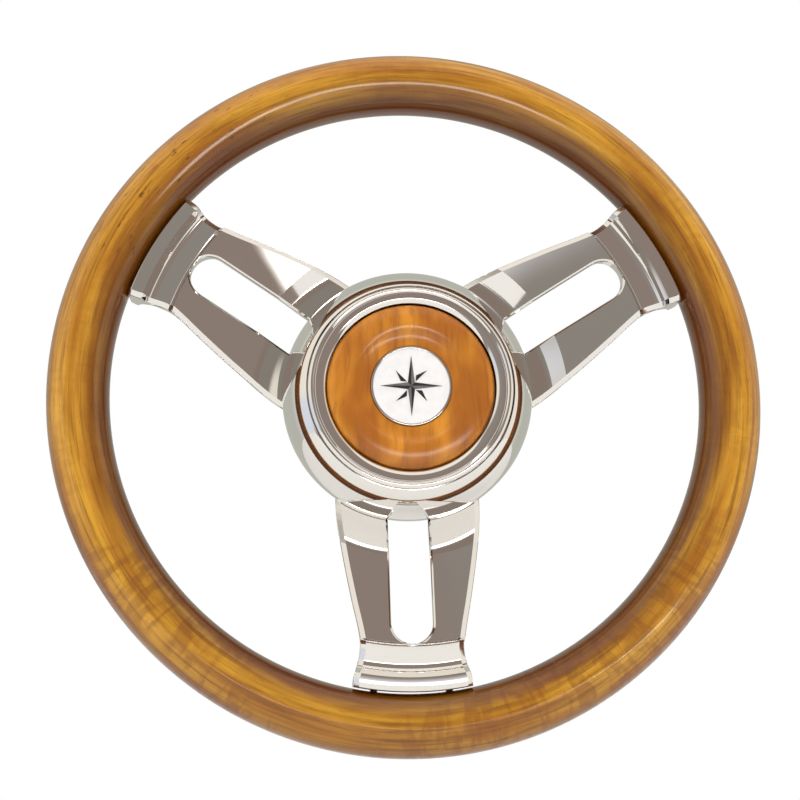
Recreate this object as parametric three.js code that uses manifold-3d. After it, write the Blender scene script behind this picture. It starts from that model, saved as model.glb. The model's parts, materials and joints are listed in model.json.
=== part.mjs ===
// A boat's steering wheel: a turned wooden rim on a flat steel ring, three slotted chrome spokes,
// a chrome hub dome with a push-fit cap, and the short helm shaft and bearing that carry them.
//
// Millimetres. The wheel turns about Y. The helmsman looks along +Y, +X is to the right, +Z is up.
// The origin is on the shaft's axis, in the plane of the dash that the bearing housing is screwed to.
// A height h is measured along the axis towards the helmsman, from the middle plane of the rim.

import * as THREE from "three";
import { mergeVertices } from "three/addons/utils/BufferGeometryUtils.js";
import Module from "manifold-3d";

const wasm = await Module();
wasm.setup();

// ---------------------------------------------------------------- driving dimensions

const RIM_RADIUS = 160; // to the centre of the rim's round section
const GRIP_RADIUS = 15; // of that section, so the wheel is 350 across
const DASH_TO_RIM = 56; // from the dash to the rim's middle plane
const FIT = 0.3; // gap left between pieces that touch
const RUNNING = 0.1; // radial gap where one piece turns in another

const SPOKE_ANGLES = { bottom: -90, upper_left: 150, upper_right: 30 };
const PLATE_THICKNESS = 4.5;
const PLATE_HUB_HEIGHT = -14.5; // front face of a spoke where it lies under the dome
const PLATE_INNER_RADIUS = 26;
const SLOT_HALF_WIDTH = 10;
const SLOT_START = 54; // centres of the slot's two round ends
const SLOT_END = 112;
const FOOT_HALF_HEIGHT = 9; // the foot's flange, along the axis
const FOOT_OUTER_RADIUS = 144.4;
const LIP_RADIUS = 137.5; // where the cove ends and the foot's flat lip begins

const DOME_RADIUS = 62;
const DOME_BASE = PLATE_HUB_HEIGHT + FIT;
const DOME_WALL = 2;
const DOME_CURVE = 28; // radius of the dome's rounded side
const DOME_CURVE_RADIUS = DOME_RADIUS - DOME_CURVE; // where that curve is centred
const DOME_CURVE_HEIGHT = -9;
const MOUTH_RADIUS = 46; // the hole in the dome that the cap goes into
const SEAT_HEIGHT = 12; // the ledge that the cap's bezel rests on

const BEZEL_RADIUS = 49.9;
const BEZEL_INNER_RADIUS = 41.3;
const INSERT_RADIUS = 40.7;
const MEDALLION_RADIUS = 19.4;
const ROSE_RADIUS = 15.2;

const SHAFT_RADIUS = 9.525; // a 3/4 inch helm shaft
const TAPER = 1 / 24; // fall in radius along a 1 in 12 taper
const TAPER_START = -31.5;
const TAPER_END = -8;
const THREAD_RADIUS = 6.35;
const KEY_WIDTH = 4.5;

const BOSS_BACK = -30.5;
const BOSS_FRONT = -8;
const BOSS_RADIUS = 21;
const BACK_PLATE_RADIUS = 59.5;
const BACK_PLATE_FRONT = PLATE_HUB_HEIGHT - PLATE_THICKNESS - FIT;
const BACK_PLATE_BACK = BACK_PLATE_FRONT - 5;

const HOUSING_FRONT = -32;
const HOUSING_FLANGE_RADIUS = 48;
const HOUSING_SCREW_CIRCLE = 37;

// ---------------------------------------------------------------- materials

const wood = new THREE.MeshStandardMaterial({ color: 0xb8742a, roughness: 0.25, metalness: 0 });
const chrome = new THREE.MeshStandardMaterial({ color: 0xd9d5cc, roughness: 0.06, metalness: 1 });
const steel = new THREE.MeshStandardMaterial({ color: 0xa3a5a8, roughness: 0.35, metalness: 1 });
const bronze = new THREE.MeshStandardMaterial({ color: 0xb08a4c, roughness: 0.4, metalness: 1 });
const rubber = new THREE.MeshStandardMaterial({ color: 0x171717, roughness: 0.8, metalness: 0 });
const nylon = new THREE.MeshStandardMaterial({ color: 0x2a2a2c, roughness: 0.55, metalness: 0 });
const enamel = new THREE.MeshStandardMaterial({ color: 0xf1f1f3, roughness: 0.15, metalness: 0 });
const ink = new THREE.MeshStandardMaterial({ color: 0x0c0c0e, roughness: 0.3, metalness: 0 });

// ---------------------------------------------------------------- solids

const MERGE_MM = 1e-4;
const FINE = 48; // sides of the rim and the spokes' dish
const COARSE = 32; // of the others
const SMALL = 8; // of the screws and their holes
const radians = THREE.MathUtils.degToRad;
const yOf = (h) => -(h + DASH_TO_RIM);

// A closed geometry as a solid that can be joined and cut.
function solidOf(geometry) {
  const bare = geometry.index ? geometry.toNonIndexed() : geometry.clone();
  bare.deleteAttribute("normal");
  bare.deleteAttribute("uv");
  const merged = mergeVertices(bare, MERGE_MM);
  const kept = [];
  const corners = merged.index.array;
  for (let i = 0; i < corners.length; i += 3) {
    const [a, b, c] = corners.subarray(i, i + 3);
    if (a !== b && b !== c && a !== c) kept.push(a, b, c);
  }
  return new wasm.Manifold(
    new wasm.Mesh({
      numProp: 3,
      vertProperties: merged.attributes.position.array,
      triVerts: Uint32Array.from(kept),
    }),
  );
}

function geometryOf(solid) {
  const mesh = solid.getMesh();
  const geometry = new THREE.BufferGeometry();
  geometry.setAttribute("position", new THREE.BufferAttribute(mesh.vertProperties, 3));
  geometry.setIndex(new THREE.BufferAttribute(mesh.triVerts, 1));
  geometry.computeVertexNormals();
  return geometry;
}

// A solid turned about Y from points (radius, y). The points close on themselves.
function revolve(points, segments) {
  let area = 0;
  points.forEach(([x, y], i) => {
    const [nextX, nextY] = points[(i + 1) % points.length];
    area += x * nextY - nextX * y;
  });
  const facingOut = area > 0 ? points : [...points].reverse();
  const outline = [...facingOut, facingOut[0]].map(([x, y]) => new THREE.Vector2(x, y));
  return solidOf(new THREE.LatheGeometry(outline, segments));
}

// The same from points (radius, height above the rim's plane).
const turned = (profile, segments = COARSE) =>
  revolve(profile.map(([r, h]) => [r, yOf(h)]), segments);

const tube = (inner, outer, back, front, segments) =>
  turned([[inner, back], [outer, back], [outer, front], [inner, front]], segments);

const rod = (radius, back, front, segments) => tube(0, radius, back, front, segments);

// A flat shape in the wheel's plane, made solid between two heights.
function extruded(shape, back, front) {
  const geometry = new THREE.ExtrudeGeometry(shape, {
    depth: front - back,
    bevelEnabled: false,
    curveSegments: 8,
  });
  geometry.rotateX(Math.PI / 2).translate(0, yOf(back), 0);
  return solidOf(geometry);
}

// Points along an arc of a profile, from one angle to another in degrees.
function arc(centreR, centreH, radius, from, to, steps) {
  return Array.from({ length: steps + 1 }, (_, i) => {
    const angle = radians(from + ((to - from) * i) / steps);
    return [centreR + radius * Math.cos(angle), centreH + radius * Math.sin(angle)];
  });
}

const aroundY = (solid, degrees) => solid.rotate([0, -degrees, 0]);
const withHoles = (solid, holes) => holes.reduce((left, hole) => left.subtract(hole), solid);

const wheel = new THREE.Group();
const cap = new THREE.Group();
const helm = new THREE.Group();

function place(group, name, solid, material, degrees = 0) {
  const mesh = new THREE.Mesh(geometryOf(solid), material);
  mesh.name = name;
  mesh.rotation.y = -radians(degrees);
  group.add(mesh);
}

// ---------------------------------------------------------------- fasteners

// A socket-head screw turned about Y, head first, from y = 0 towards +y.
function screw(headRadius, headHeight, shankRadius, length) {
  const socket = headRadius * 0.45;
  return revolve(
    [
      [0, -headHeight * 0.4],
      [socket, -headHeight * 0.4],
      [socket, -headHeight],
      [headRadius, -headHeight],
      [headRadius, 0],
      [shankRadius, 0],
      [shankRadius, length],
      [0, length],
    ],
    SMALL,
  );
}

// ---------------------------------------------------------------- rim

const CORE_HALF_WIDTH = 3;
const CORE_HALF_HEIGHT = 8;
const FOOT_SCREW_OFFSET = 18; // either side of the spoke's middle
const FOOT_SCREW_HEIGHT = -5.2;
const FOOT_SCREW_SEAT = 137.8;
const FOOT_SCREW_END = 160.5;
const FOOT_SCREW_RADIUS = 2;

// A cylinder parallel to the spoke that points along +X, at a foot screw's place.
function footCylinder(side, radius, from, to) {
  const bar = revolve([[0, from], [radius, from], [radius, to], [0, to]], SMALL);
  return bar
    .rotate([0, 0, -90])
    .translate([0, yOf(FOOT_SCREW_HEIGHT), side * FOOT_SCREW_OFFSET]);
}

const footHoles = Object.values(SPOKE_ANGLES).flatMap((angle) =>
  [-1, 1].map((side) =>
    aroundY(
      footCylinder(side, FOOT_SCREW_RADIUS + FIT, 130, FOOT_SCREW_END + FIT),
      angle,
    ),
  ),
);

// Half of the rim's round section, with the groove that the steel ring lies in.
function rimHalf(side) {
  const meet = FIT / 2;
  const start = (Math.asin(meet / GRIP_RADIUS) * 180) / Math.PI;
  const round = arc(RIM_RADIUS, 0, GRIP_RADIUS, start, 180 - start, 8);
  const groove = CORE_HALF_WIDTH + FIT;
  const depth = CORE_HALF_HEIGHT + FIT;
  const profile = [
    ...round,
    [RIM_RADIUS - groove, meet],
    [RIM_RADIUS - groove, depth],
    [RIM_RADIUS + groove, depth],
    [RIM_RADIUS + groove, meet],
  ];
  return turned(profile.map(([r, h]) => [r, side * h]), FINE);
}

function makeRim() {
  const ring = tube(
    RIM_RADIUS - CORE_HALF_WIDTH,
    RIM_RADIUS + CORE_HALF_WIDTH,
    -CORE_HALF_HEIGHT,
    CORE_HALF_HEIGHT,
    FINE,
  );
  place(wheel, "rim_front_half", rimHalf(1), wood);
  place(wheel, "rim_rear_half", withHoles(rimHalf(-1), footHoles), wood);
  place(wheel, "rim_core_ring", withHoles(ring, footHoles), steel);
}

// ---------------------------------------------------------------- spokes

const HUB_SCREW_PLACES = [[40, -21], [40, 21]]; // along and across the spoke
const HUB_SCREW_RADIUS = 2.5;

// Half the spoke's width, from the hub out to the foot.
const SPOKE_EDGE = new THREE.SplineCurve([
  new THREE.Vector2(26, 31),
  new THREE.Vector2(44, 35),
  new THREE.Vector2(60, 35.3),
  new THREE.Vector2(80, 32.5),
  new THREE.Vector2(100, 28.8),
  new THREE.Vector2(114, 25.8),
  new THREE.Vector2(121.5, 24.7),
  new THREE.Vector2(128, 25.4),
  new THREE.Vector2(134, 26.8),
  new THREE.Vector2(139, 27.9),
  new THREE.Vector2(147, 28.3),
]);
const EDGE_STEPS = 18;

// The outline of the spoke that points along +X, a little wider if asked.
function spokeOutline(wider = 0) {
  const edge = SPOKE_EDGE.getPoints(EDGE_STEPS);
  const near = edge.map((p) => new THREE.Vector2(p.x, p.y + wider));
  const far = near.map((p) => new THREE.Vector2(p.x, -p.y)).reverse();
  return new THREE.Shape([...near, ...far]);
}

function slotOutline() {
  const slot = new THREE.Path();
  slot.absarc(SLOT_END, 0, SLOT_HALF_WIDTH, -Math.PI / 2, Math.PI / 2);
  slot.absarc(SLOT_START, 0, SLOT_HALF_WIDTH, Math.PI / 2, (3 * Math.PI) / 2);
  return slot;
}

// The dished section that all three spokes share: flat under the dome, a steep rise beside it,
// an easier slope out to the foot, a cove, and a flange that lies against the rim.
const RISE_START = 64.5;
const RISE_START_HEIGHT = -13.6;
const SLOPE_START = 80;
const SLOPE_START_HEIGHT = -5.4;
const FACE_END = 121.5;
const FACE_END_HEIGHT = 8;
const FACE_SLOPE = (FACE_END_HEIGHT - SLOPE_START_HEIGHT) / (FACE_END - SLOPE_START);
const RISE_SLOPE = (SLOPE_START_HEIGHT - RISE_START_HEIGHT) / (SLOPE_START - RISE_START);
const slopeHeight = (r) => FACE_END_HEIGHT - (FACE_END - r) * FACE_SLOPE;
const SLOPE_DEPTH = PLATE_THICKNESS * Math.hypot(1, FACE_SLOPE);
const RISE_DEPTH = PLATE_THICKNESS * Math.hypot(1, RISE_SLOPE);

const SPOKE_SECTION = [
  // front, from the hub outwards
  [PLATE_INNER_RADIUS, PLATE_HUB_HEIGHT],
  [DOME_RADIUS, PLATE_HUB_HEIGHT],
  [RISE_START, RISE_START_HEIGHT],
  [SLOPE_START, SLOPE_START_HEIGHT],
  [FACE_END, FACE_END_HEIGHT],
  [122.2, 6.2],
  [123.4, 4.9],
  [125, 4.3],
  [130, 3.3],
  [132.5, 3.1],
  [134.3, 3.8],
  [135.8, 5.4],
  [136.8, 7.3],
  [LIP_RADIUS, FOOT_HALF_HEIGHT],
  [143.2, FOOT_HALF_HEIGHT],
  [144.1, 8.5],
  [FOOT_OUTER_RADIUS, 7.6],
  // back, from the rim inwards
  [FOOT_OUTER_RADIUS, -7.6],
  [144.1, -8.5],
  [143.2, -FOOT_HALF_HEIGHT],
  [140.4, -FOOT_HALF_HEIGHT],
  [139.3, -6],
  [136.5, -3],
  [132, -1.4],
  [126, -1.3],
  [120.5, 0.4],
  [116, slopeHeight(116) - SLOPE_DEPTH],
  [SLOPE_START + 1, slopeHeight(SLOPE_START + 1) - SLOPE_DEPTH],
  [RISE_START + 1.5, RISE_START_HEIGHT + 1.5 * RISE_SLOPE - RISE_DEPTH],
  [DOME_RADIUS + 1, PLATE_HUB_HEIGHT - PLATE_THICKNESS],
  [PLATE_INNER_RADIUS, PLATE_HUB_HEIGHT - PLATE_THICKNESS],
];

function makeSpokes() {
  const outline = spokeOutline();
  outline.holes.push(slotOutline());
  const blank = turned(SPOKE_SECTION, FINE).intersect(extruded(outline, -30, 20));
  const hubHoles = HUB_SCREW_PLACES.map(([along, across]) =>
    rod(HUB_SCREW_RADIUS + FIT, -30, 0, SMALL).translate([along, 0, across]),
  );
  const seats = [-1, 1].flatMap((side) => [
    footCylinder(side, 4.1, 119, FOOT_SCREW_SEAT),
    footCylinder(side, FOOT_SCREW_RADIUS + FIT, 119, 150),
  ]);
  const spoke = withHoles(blank, [...hubHoles, ...seats]);

  const footScrew = screw(3.8, 3, FOOT_SCREW_RADIUS, FOOT_SCREW_END - FOOT_SCREW_SEAT - FIT)
    .rotate([0, 0, -90])
    .translate([FOOT_SCREW_SEAT - FIT, yOf(FOOT_SCREW_HEIGHT), 0]);
  const hubScrew = screw(4.2, 2.8, HUB_SCREW_RADIUS, 8.5).translate([
    0,
    yOf(PLATE_HUB_HEIGHT + FIT),
    0,
  ]);

  for (const [name, angle] of Object.entries(SPOKE_ANGLES)) {
    place(wheel, `spoke_${name}`, spoke, chrome, angle);
    [-1, 1].forEach((side, i) => {
      const screwAtFoot = footScrew.translate([0, 0, side * FOOT_SCREW_OFFSET]);
      place(wheel, `foot_screw_${name}_${i + 1}`, screwAtFoot, steel, angle);
    });
    HUB_SCREW_PLACES.forEach(([along, across], i) => {
      const screwAtHub = hubScrew.translate([along, 0, across]);
      place(wheel, `hub_screw_${name}_${i + 1}`, screwAtHub, steel, angle);
    });
  }
}

// ---------------------------------------------------------------- hub

const DOME_SCREW_CIRCLE = 54.5;
const DOME_SCREW_ANGLES = [90, 210, 330];
const DOME_SCREW_RADIUS = 2;
const POST_RADIUS = 6;
const POST_TOP = -2;

const domeScrewAt = (solid, angle) =>
  aroundY(solid.translate([DOME_SCREW_CIRCLE, 0, 0]), angle);

function makeBoss() {
  const bore = (h) => SHAFT_RADIUS + FIT / 2 - (h - TAPER_START) * TAPER;
  const body = turned([
    [bore(BOSS_BACK), BOSS_BACK],
    [BOSS_RADIUS, BOSS_BACK],
    [BOSS_RADIUS, BACK_PLATE_BACK - 2],
    [BOSS_RADIUS + 2, BACK_PLATE_BACK],
    [BACK_PLATE_RADIUS - 1.5, BACK_PLATE_BACK],
    [BACK_PLATE_RADIUS, BACK_PLATE_BACK + 1.5],
    [BACK_PLATE_RADIUS, DOME_BASE - FIT],
    [BACK_PLATE_RADIUS - 3, DOME_BASE - FIT],
    [BACK_PLATE_RADIUS - 3, BACK_PLATE_FRONT],
    [BOSS_RADIUS, BACK_PLATE_FRONT],
    [BOSS_RADIUS, BOSS_FRONT - 1],
    [BOSS_RADIUS - 1, BOSS_FRONT],
    [bore(BOSS_FRONT), BOSS_FRONT],
  ]);
  const clearance = extruded(spokeOutline(0.5), BACK_PLATE_FRONT, 0);
  const spokeGaps = Object.values(SPOKE_ANGLES).map((angle) =>
    aroundY(clearance.subtract(rod(BOSS_RADIUS + 1, -40, 10)), angle),
  );
  const screwHoles = Object.values(SPOKE_ANGLES).flatMap((angle) =>
    HUB_SCREW_PLACES.map(([along, across]) =>
      aroundY(rod(HUB_SCREW_RADIUS + FIT, -40, 0, SMALL).translate([along, 0, across]), angle),
    ),
  );
  const domeHoles = DOME_SCREW_ANGLES.map((angle) =>
    domeScrewAt(rod(DOME_SCREW_RADIUS + FIT, -40, 0, SMALL), angle),
  );
  const posts = DOME_SCREW_ANGLES.map((angle) =>
    domeScrewAt(rod(POST_RADIUS + 2 * FIT, BACK_PLATE_FRONT, 0, 16), angle),
  );
  const keyway = solidOf(
    new THREE.BoxGeometry(KEY_WIDTH + 2 * FIT, 60, 11.6).translate(
      0,
      yOf(BOSS_BACK + 10),
      5.8,
    ),
  );
  const boss = withHoles(body, [...spokeGaps, ...screwHoles, ...domeHoles, ...posts, keyway]);
  place(wheel, "hub_boss", boss, steel);
}

// Points along the dome's rounded side, a given depth below its surface, as far up as an angle.
const domeSide = (depth, angle, steps) =>
  arc(DOME_CURVE_RADIUS, DOME_CURVE_HEIGHT, DOME_CURVE - depth, 0, angle, steps);

function makeDome() {
  const mouthEdge = BEZEL_RADIUS + FIT;
  const upTo = (Math.acos((mouthEdge - DOME_CURVE_RADIUS) / DOME_CURVE) * 180) / Math.PI;
  const shell = turned([
    [DOME_RADIUS, DOME_BASE],
    ...domeSide(0, upTo, 7),
    [mouthEdge, SEAT_HEIGHT],
    [MOUTH_RADIUS, SEAT_HEIGHT],
    [MOUTH_RADIUS, 4],
    [MOUTH_RADIUS + 2, 4],
    [MOUTH_RADIUS + 2, 9.4],
    ...domeSide(DOME_WALL, 45, 5).reverse(),
    [DOME_RADIUS - DOME_WALL, DOME_BASE],
  ]);
  const posts = DOME_SCREW_ANGLES.map((angle) =>
    domeScrewAt(rod(POST_RADIUS, BACK_PLATE_FRONT + FIT, POST_TOP, 16), angle),
  );
  const holes = DOME_SCREW_ANGLES.map((angle) =>
    domeScrewAt(rod(DOME_SCREW_RADIUS + FIT, -30, POST_TOP - 4, SMALL), angle),
  );
  const dome = withHoles(posts.reduce((all, post) => all.add(post), shell), holes);
  place(wheel, "hub_dome", dome, chrome);

  const length = POST_TOP - 4.6 - BACK_PLATE_BACK;
  const domeScrew = screw(3.6, 2.6, DOME_SCREW_RADIUS, length)
    .rotate([180, 0, 0])
    .translate([DOME_SCREW_CIRCLE, yOf(BACK_PLATE_BACK - FIT), 0]);
  DOME_SCREW_ANGLES.forEach((angle, i) => {
    place(wheel, `dome_screw_${i + 1}`, domeScrew, steel, angle);
  });
}

// ---------------------------------------------------------------- helm shaft

const CIRCLIP_BACK = -49.6;
const CIRCLIP_FRONT = -48.4;
const CIRCLIP_SEAT = 8.8;
const TANG_FRONT = -51;
const TANG_HALF_WIDTH = 6.5;

function hexagon(acrossFlats) {
  const radius = acrossFlats / Math.sqrt(3);
  return new THREE.Shape(
    Array.from({ length: 6 }, (_, i) => {
      const angle = radians(60 * i);
      return new THREE.Vector2(radius * Math.cos(angle), radius * Math.sin(angle));
    }),
  );
}

function makeShaft() {
  const taperEnd = SHAFT_RADIUS - (TAPER_END - TAPER_START) * TAPER;
  const bar = turned([
    [0, -DASH_TO_RIM],
    [SHAFT_RADIUS, -DASH_TO_RIM],
    [SHAFT_RADIUS, CIRCLIP_BACK - 0.2],
    [CIRCLIP_SEAT, CIRCLIP_BACK - 0.2],
    [CIRCLIP_SEAT, CIRCLIP_FRONT + 0.2],
    [SHAFT_RADIUS, CIRCLIP_FRONT + 0.2],
    [SHAFT_RADIUS, TAPER_START],
    [taperEnd, TAPER_END],
    [THREAD_RADIUS, TAPER_END],
    [THREAD_RADIUS, 5.2],
    [THREAD_RADIUS - 0.8, 6],
    [0, 6],
  ]);
  const flats = [-1, 1].map((side) =>
    solidOf(
      new THREE.BoxGeometry(10, 2 * (DASH_TO_RIM + TANG_FRONT), 30).translate(
        side * (TANG_HALF_WIDTH + 5),
        0,
        0,
      ),
    ),
  );
  const keySlot = solidOf(
    new THREE.BoxGeometry(KEY_WIDTH + 2 * FIT, 17, 10).translate(0, yOf(-19), 11.7),
  );
  place(wheel, "helm_shaft", withHoles(bar, [...flats, keySlot]), steel);

  const key = solidOf(new THREE.BoxGeometry(KEY_WIDTH, 16, 4.2).translate(0, yOf(-19), 9.1));
  place(wheel, "drive_key", key, steel);
  place(
    wheel,
    "thrust_washer",
    tube(SHAFT_RADIUS + RUNNING, 17, HOUSING_FRONT + FIT, BOSS_BACK - FIT),
    bronze,
  );
  const washerBack = BOSS_FRONT + FIT;
  const nutBack = washerBack + 1.8 + FIT;
  place(wheel, "shaft_washer", tube(THREAD_RADIUS + FIT, 13, washerBack, washerBack + 1.8), steel);
  const nut = extruded(hexagon(19.05), nutBack, nutBack + 9).subtract(
    rod(THREAD_RADIUS + FIT, -20, 20),
  );
  place(wheel, "shaft_nut", nut, steel);

  const ring = tube(CIRCLIP_SEAT + RUNNING, 12.4, CIRCLIP_BACK, CIRCLIP_FRONT);
  const gap = solidOf(new THREE.BoxGeometry(5, 4, 14).translate(0, yOf(-49), -11));
  place(wheel, "shaft_circlip", ring.subtract(gap), steel);
}

// ---------------------------------------------------------------- centre cap

const SKIRT_RADIUS = 45.6;
const SKIRT_BACK = 4.6;
const ORING_HEIGHT = 9.6;
const ORING_RADIUS = 0.9;
const SNAP_BACK = 5.7;
const SNAP_FRONT = 6.9;
const FACE_HEIGHT = 14.8; // the medallion's white face

function makeCap() {
  const bezel = turned([
    [BEZEL_RADIUS - 0.2, SEAT_HEIGHT + FIT],
    [BEZEL_RADIUS, 13.9],
    [48.3, 15.2],
    [47.7, 15.3],
    [46.5, 14.5],
    [46.2, 15.1],
    [43.4, 15.1],
    [BEZEL_INNER_RADIUS, 14.1],
    [BEZEL_INNER_RADIUS, SNAP_FRONT + 0.2],
    [BEZEL_INNER_RADIUS + 1.2, SNAP_FRONT + 0.2],
    [BEZEL_INNER_RADIUS + 1.2, SNAP_BACK - 0.2],
    [BEZEL_INNER_RADIUS, SNAP_BACK - 0.2],
    [BEZEL_INNER_RADIUS, SKIRT_BACK],
    [SKIRT_RADIUS, SKIRT_BACK],
    [SKIRT_RADIUS, ORING_HEIGHT - 1.1],
    [SKIRT_RADIUS - 1.7, ORING_HEIGHT - 1.1],
    [SKIRT_RADIUS - 1.7, ORING_HEIGHT + 1.1],
    [SKIRT_RADIUS, ORING_HEIGHT + 1.1],
    [SKIRT_RADIUS, SEAT_HEIGHT + FIT],
  ]);
  place(cap, "cap_bezel", bezel, chrome);

  const oring = turned(
    arc(SKIRT_RADIUS - 0.75, ORING_HEIGHT, ORING_RADIUS, 0, 300, 5),
  );
  place(cap, "cap_o_ring", oring, rubber);

  const insert = turned([
    [0, 9.6],
    [INSERT_RADIUS, 9.6],
    [INSERT_RADIUS, 12],
    [40, 13.8],
    [38, 15.4],
    [34.5, 16.6],
    [31, 16.9],
    [28, 16.4],
    [26.5, 15.6],
    [23.5, 14.8],
    [MEDALLION_RADIUS + FIT, 14.5],
    [MEDALLION_RADIUS + FIT, 12.4],
    [0, 12.4],
  ]);
  place(cap, "cap_wood_insert", insert, wood);

  const medallion = turned([
    [0, 12.7],
    [MEDALLION_RADIUS, 12.7],
    [MEDALLION_RADIUS, 14.7],
    [MEDALLION_RADIUS - 0.4, 15.2],
    [MEDALLION_RADIUS - 1, 15.2],
    [MEDALLION_RADIUS - 1.3, FACE_HEIGHT],
    [0, FACE_HEIGHT],
  ]);
  place(cap, "medallion", medallion, enamel);

  const star = Array.from({ length: 16 }, (_, i) => {
    const isTip = i % 2 === 0;
    const tip = i % 4 === 0 ? ROSE_RADIUS : ROSE_RADIUS * 0.62;
    const radius = isTip ? tip : ROSE_RADIUS * 0.25;
    const angle = radians(22.5 * i);
    return new THREE.Vector2(radius * Math.cos(angle), radius * Math.sin(angle));
  });
  const rose = extruded(new THREE.Shape(star), FACE_HEIGHT + 0.05, FACE_HEIGHT + 0.35);
  place(cap, "compass_rose", rose, ink);

  place(cap, "cap_backing_plate", rod(BEZEL_INNER_RADIUS - FIT, 7.3, 9.3), nylon);
  const ring = tube(BEZEL_INNER_RADIUS - 2.4, BEZEL_INNER_RADIUS + 0.9, SNAP_BACK, SNAP_FRONT);
  const gap = solidOf(new THREE.BoxGeometry(8, 4, 8).translate(0, yOf(6.3), -40));
  place(cap, "cap_snap_ring", ring.subtract(gap), steel);
}

// ---------------------------------------------------------------- helm bearing

const POCKET_FRONT = -48;
const BUSH_FRONT = -36;
const BUSH_BORE = 12.7;
const SEAL_BORE = 17;

function makeBearing() {
  const body = turned([
    [15, -DASH_TO_RIM],
    [HOUSING_FLANGE_RADIUS, -DASH_TO_RIM],
    [HOUSING_FLANGE_RADIUS, -51.5],
    [HOUSING_FLANGE_RADIUS - 1.5, -50],
    [29, -50],
    [26, -47],
    [24, HOUSING_FRONT - 1],
    [23, HOUSING_FRONT],
    [SEAL_BORE, HOUSING_FRONT],
    [SEAL_BORE, BUSH_FRONT],
    [BUSH_BORE, BUSH_FRONT],
    [BUSH_BORE, POCKET_FRONT],
    [15, POCKET_FRONT],
  ]);
  const screwAngles = [0, 120, 240].map((angle) => angle + 90);
  const holes = screwAngles.map((angle) =>
    aroundY(rod(2.8, -60, -40, SMALL).translate([HOUSING_SCREW_CIRCLE, 0, 0]), angle),
  );
  place(helm, "bearing_housing", withHoles(body, holes), nylon);
  place(
    helm,
    "shaft_bush",
    tube(SHAFT_RADIUS + RUNNING, BUSH_BORE - FIT, POCKET_FRONT + FIT, BUSH_FRONT - FIT),
    bronze,
  );
  place(
    helm,
    "shaft_seal",
    tube(SHAFT_RADIUS + RUNNING, SEAL_BORE - FIT, BUSH_FRONT + FIT, HOUSING_FRONT - FIT),
    rubber,
  );
  const dashScrew = screw(4.6, 3.2, 2.4, 18).translate([HOUSING_SCREW_CIRCLE, yOf(-50 + FIT), 0]);
  screwAngles.forEach((angle, i) => {
    place(helm, `dash_screw_${i + 1}`, dashScrew, steel, angle);
  });
}

makeRim();
makeSpokes();
makeBoss();
makeDome();
makeShaft();
makeCap();
makeBearing();

const steeringWheel = new THREE.Group();
steeringWheel.add(wheel, cap, helm);

export default steeringWheel;
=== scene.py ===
"""The looks of a boat's steering wheel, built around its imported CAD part.

Lengths are millimetres until a mesh is made. A height h is measured along the wheel's axis towards
the helmsman, from the middle plane of the rim; a radius r is measured from the axis.
"""

import json
import math

import bmesh
import bpy
import numpy as np
from mathutils import Matrix, Vector
from mathutils.geometry import delaunay_2d_cdt


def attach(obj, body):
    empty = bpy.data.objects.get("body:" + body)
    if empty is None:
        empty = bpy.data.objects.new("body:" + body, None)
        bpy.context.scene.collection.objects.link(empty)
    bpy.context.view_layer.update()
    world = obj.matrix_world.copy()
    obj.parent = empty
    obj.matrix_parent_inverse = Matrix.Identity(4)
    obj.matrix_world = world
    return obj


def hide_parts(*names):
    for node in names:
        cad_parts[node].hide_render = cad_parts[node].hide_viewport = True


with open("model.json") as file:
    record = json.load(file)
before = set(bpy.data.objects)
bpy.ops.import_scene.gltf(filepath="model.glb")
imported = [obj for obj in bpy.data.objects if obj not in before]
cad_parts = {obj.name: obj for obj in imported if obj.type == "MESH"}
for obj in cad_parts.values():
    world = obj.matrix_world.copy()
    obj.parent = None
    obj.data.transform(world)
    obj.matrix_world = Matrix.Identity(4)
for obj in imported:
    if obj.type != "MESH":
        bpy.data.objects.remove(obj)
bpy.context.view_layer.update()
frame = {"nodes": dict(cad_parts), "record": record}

MM = 0.001
DASH_TO_RIM = 56.0
RIM_RADIUS = 160.0
GRIP_RADIUS = 15.0
SPOKE_ANGLES = {"bottom": -90.0, "upper_left": 150.0, "upper_right": 30.0}
THIRDS = (90, 210, 330)  # where the dome and dash screws are, between the spokes


# ------------------------------------------------------------------ shader nodes

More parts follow.
